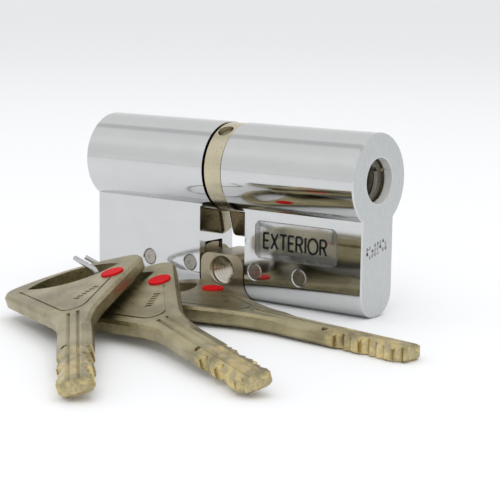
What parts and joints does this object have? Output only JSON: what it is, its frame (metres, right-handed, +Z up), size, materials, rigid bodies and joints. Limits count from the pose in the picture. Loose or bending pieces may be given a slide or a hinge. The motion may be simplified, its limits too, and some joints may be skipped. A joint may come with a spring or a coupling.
{
  "type": "double profile lock cylinder with keys",
  "caption": "Double profile lock cylinder for a mortise deadbolt, with a turning cam, disc works keyed from both ends, a joining bridge and its keys on a wire.",
  "frame": {"origin": "centre of the fixing-screw hole at the lock's middle plane", "axes": "+X along the barrel to the outside end, +Y to the back face of the web, +Z up from the web's foot to the barrel"},
  "size_m": [0.0849, 0.0866, 0.033],
  "materials": {
    "chrome_plate": "polished chrome plate over brass",
    "bridge_steel": "matte nickel-plated sintered steel",
    "cam_nickel": "satin champagne nickel",
    "pin_steel": "turned steel",
    "hard_steel": "hardened steel",
    "lock_brass": "nickel-washed brass",
    "label_film": "clear self-adhesive film",
    "red_enamel": "moulded red plastic",
    "key_nickel_silver": "worn nickel silver",
    "ring_wire": "bright steel wire"
  },
  "bodies": {
    "lock_body": {"outside_housing": "chrome_plate", "inside_housing": "chrome_plate", "bridge": "bridge_steel", "bridge_pins": "pin_steel", "outside_guard_ring": "hard_steel", "inside_guard_ring": "hard_steel", "outside_retaining_ring": "pin_steel", "inside_retaining_ring": "pin_steel", "clear_label": "label_film"},
    "cam": {"cam": "cam_nickel", "cam_pin": "pin_steel"},
    "clutch": {"clutch": "hard_steel"},
    "outside_core": {"outside_core": "lock_brass", "outside_spacer_washers": "lock_brass"},
    "outside_side_bar": {"outside_side_bar": "hard_steel"},
    "outside_disc_1": {"outside_disc_1": "lock_brass", "outside_front_plate": "lock_brass"},
    "outside_disc_2": {"outside_disc_2": "lock_brass"},
    "outside_disc_3": {"outside_disc_3": "lock_brass"},
    "outside_disc_4": {"outside_disc_4": "lock_brass"},
    "outside_disc_5": {"outside_disc_5": "lock_brass"},
    "outside_disc_6": {"outside_disc_6": "lock_brass"},
    "outside_disc_7": {"outside_disc_7": "lock_brass"},
    "outside_disc_8": {"outside_disc_8": "lock_brass"},
    "outside_disc_9": {"outside_disc_9": "lock_brass"},
    "outside_disc_10": {"outside_disc_10": "lock_brass"},
    "outside_disc_11": {"outside_disc_11": "lock_brass"},
    "inside_core": {"inside_core": "lock_brass", "inside_spacer_washers": "lock_brass"},
    "inside_side_bar": {"inside_side_bar": "hard_steel"},
    "inside_disc_1": {"inside_disc_1": "lock_brass", "inside_front_plate": "lock_brass"},
    "inside_disc_2": {"inside_disc_2": "lock_brass"},
    "inside_disc_3": {"inside_disc_3": "lock_brass"},
    "inside_disc_4": {"inside_disc_4": "lock_brass"},
    "inside_disc_5": {"inside_disc_5": "lock_brass"},
    "inside_disc_6": {"inside_disc_6": "lock_brass"},
    "inside_disc_7": {"inside_disc_7": "lock_brass"},
    "inside_disc_8": {"inside_disc_8": "lock_brass"},
    "inside_disc_9": {"inside_disc_9": "lock_brass"},
    "inside_disc_10": {"inside_disc_10": "lock_brass"},
    "inside_disc_11": {"inside_disc_11": "lock_brass"},
    "keys": {"key_1": "key_nickel_silver", "key_2": "key_nickel_silver", "key_3": "key_nickel_silver", "key_1_colour_dot": "red_enamel", "key_2_colour_dot": "red_enamel", "key_3_colour_dot": "red_enamel", "key_ring": "ring_wire"}
  },
  "joints": [
    {"name": "outside_core_turn", "type": "hinge", "parent": "lock_body", "child": "outside_core", "pos_m": [0, 0, 0.019], "axis": [1, 0, 0], "range_deg": [-360, 360]},
    {"name": "inside_core_turn", "type": "hinge", "parent": "lock_body", "child": "inside_core", "pos_m": [0, 0, 0.019], "axis": [1, 0, 0], "range_deg": [-360, 360]},
    {"name": "cam_turn", "type": "hinge", "parent": "lock_body", "child": "cam", "pos_m": [0, 0, 0.019], "axis": [1, 0, 0], "range_deg": [-360, 360]},
    {"name": "clutch_slide", "type": "slide", "parent": "cam", "child": "clutch", "axis": [1, 0, 0], "range_m": [-0.00235, 0]},
    {"name": "outside_disc_1_turn", "type": "hinge", "parent": "outside_core", "child": "outside_disc_1", "pos_m": [0, 0, 0.019], "axis": [1, 0, 0], "range_deg": [0, 90]},
    {"name": "outside_disc_2_turn", "type": "hinge", "parent": "outside_core", "child": "outside_disc_2", "pos_m": [0, 0, 0.019], "axis": [1, 0, 0], "range_deg": [0, 30]},
    {"name": "outside_disc_3_turn", "type": "hinge", "parent": "outside_core", "child": "outside_disc_3", "pos_m": [0, 0, 0.019], "axis": [1, 0, 0], "range_deg": [0, 60]},
    {"name": "outside_disc_4_turn", "type": "hinge", "parent": "outside_core", "child": "outside_disc_4", "pos_m": [0, 0, 0.019], "axis": [1, 0, 0], "range_deg": [0, 15]},
    {"name": "outside_disc_5_turn", "type": "hinge", "parent": "outside_core", "child": "outside_disc_5", "pos_m": [0, 0, 0.019], "axis": [1, 0, 0], "range_deg": [0, 75]},
    {"name": "outside_disc_6_turn", "type": "hinge", "parent": "outside_core", "child": "outside_disc_6", "pos_m": [0, 0, 0.019], "axis": [1, 0, 0], "range_deg": [0, 45]},
    {"name": "outside_disc_7_turn", "type": "hinge", "parent": "outside_core", "child": "outside_disc_7", "pos_m": [0, 0, 0.019], "axis": [1, 0, 0], "range_deg": [0, 30]},
    {"name": "outside_disc_8_turn", "type": "hinge", "parent": "outside_core", "child": "outside_disc_8", "pos_m": [0, 0, 0.019], "axis": [1, 0, 0], "range_deg": [0, 90]},
    {"name": "outside_disc_9_turn", "type": "hinge", "parent": "outside_core", "child": "outside_disc_9", "pos_m": [0, 0, 0.019], "axis": [1, 0, 0], "range_deg": [0, 15]},
    {"name": "outside_disc_10_turn", "type": "hinge", "parent": "outside_core", "child": "outside_disc_10", "pos_m": [0, 0, 0.019], "axis": [1, 0, 0], "range_deg": [0, 60]},
    {"name": "outside_disc_11_turn", "type": "hinge", "parent": "outside_core", "child": "outside_disc_11", "pos_m": [0, 0, 0.019], "axis": [1, 0, 0], "range_deg": [0, 45]},
    {"name": "outside_side_bar_slide", "type": "slide", "parent": "outside_core", "child": "outside_side_bar", "axis": [0, 0, -1], "range_m": [0, 0.0008]},
    {"name": "inside_disc_1_turn", "type": "hinge", "parent": "inside_core", "child": "inside_disc_1", "pos_m": [0, 0, 0.019], "axis": [1, 0, 0], "range_deg": [0, 90]},
    {"name": "inside_disc_2_turn", "type": "hinge", "parent": "inside_core", "child": "inside_disc_2", "pos_m": [0, 0, 0.019], "axis": [1, 0, 0], "range_deg": [0, 45]},
    {"name": "inside_disc_3_turn", "type": "hinge", "parent": "inside_core", "child": "inside_disc_3", "pos_m": [0, 0, 0.019], "axis": [1, 0, 0], "range_deg": [0, 15]},
    {"name": "inside_disc_4_turn", "type": "hinge", "parent": "inside_core", "child": "inside_disc_4", "pos_m": [0, 0, 0.019], "axis": [1, 0, 0], "range_deg": [0, 75]},
    {"name": "inside_disc_5_turn", "type": "hinge", "parent": "inside_core", "child": "inside_disc_5", "pos_m": [0, 0, 0.019], "axis": [1, 0, 0], "range_deg": [0, 30]},
    {"name": "inside_disc_6_turn", "type": "hinge", "parent": "inside_core", "child": "inside_disc_6", "pos_m": [0, 0, 0.019], "axis": [1, 0, 0], "range_deg": [0, 60]},
    {"name": "inside_disc_7_turn", "type": "hinge", "parent": "inside_core", "child": "inside_disc_7", "pos_m": [0, 0, 0.019], "axis": [1, 0, 0], "range_deg": [0, 90]},
    {"name": "inside_disc_8_turn", "type": "hinge", "parent": "inside_core", "child": "inside_disc_8", "pos_m": [0, 0, 0.019], "axis": [1, 0, 0], "range_deg": [0, 15]},
    {"name": "inside_disc_9_turn", "type": "hinge", "parent": "inside_core", "child": "inside_disc_9", "pos_m": [0, 0, 0.019], "axis": [1, 0, 0], "range_deg": [0, 45]},
    {"name": "inside_disc_10_turn", "type": "hinge", "parent": "inside_core", "child": "inside_disc_10", "pos_m": [0, 0, 0.019], "axis": [1, 0, 0], "range_deg": [0, 75]},
    {"name": "inside_disc_11_turn", "type": "hinge", "parent": "inside_core", "child": "inside_disc_11", "pos_m": [0, 0, 0.019], "axis": [1, 0, 0], "range_deg": [0, 30]},
    {"name": "inside_side_bar_slide", "type": "slide", "parent": "inside_core", "child": "inside_side_bar", "axis": [0, 0, -1], "range_m": [0, 0.0008]},
    {"name": "keys_slide", "type": "slide", "parent": "lock_body", "child": "keys", "axis": [0, -1, 0], "range_m": [0, 0.06]}
  ],
  "couplings": [
    {"joint": "cam_turn", "follows": "outside_core_turn", "ratio": 1},
    {"joint": "outside_disc_2_turn", "follows": "outside_disc_1_turn", "ratio": 0.33333},
    {"joint": "outside_disc_3_turn", "follows": "outside_disc_1_turn", "ratio": 0.66667},
    {"joint": "outside_disc_4_turn", "follows": "outside_disc_1_turn", "ratio": 0.16667},
    {"joint": "outside_disc_5_turn", "follows": "outside_disc_1_turn", "ratio": 0.83333},
    {"joint": "outside_disc_6_turn", "follows": "outside_disc_1_turn", "ratio": 0.5},
    {"joint": "outside_disc_7_turn", "follows": "outside_disc_1_turn", "ratio": 0.33333},
    {"joint": "outside_disc_8_turn", "follows": "outside_disc_1_turn", "ratio": 1},
    {"joint": "outside_disc_9_turn", "follows": "outside_disc_1_turn", "ratio": 0.16667},
    {"joint": "outside_disc_10_turn", "follows": "outside_disc_1_turn", "ratio": 0.66667},
    {"joint": "outside_disc_11_turn", "follows": "outside_disc_1_turn", "ratio": 0.5},
    {"joint": "inside_disc_2_turn", "follows": "inside_disc_1_turn", "ratio": 0.5},
    {"joint": "inside_disc_3_turn", "follows": "inside_disc_1_turn", "ratio": 0.16667},
    {"joint": "inside_disc_4_turn", "follows": "inside_disc_1_turn", "ratio": 0.83333},
    {"joint": "inside_disc_5_turn", "follows": "inside_disc_1_turn", "ratio": 0.33333},
    {"joint": "inside_disc_6_turn", "follows": "inside_disc_1_turn", "ratio": 0.66667},
    {"joint": "inside_disc_7_turn", "follows": "inside_disc_1_turn", "ratio": 1},
    {"joint": "inside_disc_8_turn", "follows": "inside_disc_1_turn", "ratio": 0.16667},
    {"joint": "inside_disc_9_turn", "follows": "inside_disc_1_turn", "ratio": 0.5},
    {"joint": "inside_disc_10_turn", "follows": "inside_disc_1_turn", "ratio": 0.83333},
    {"joint": "inside_disc_11_turn", "follows": "inside_disc_1_turn", "ratio": 0.33333}
  ]
}
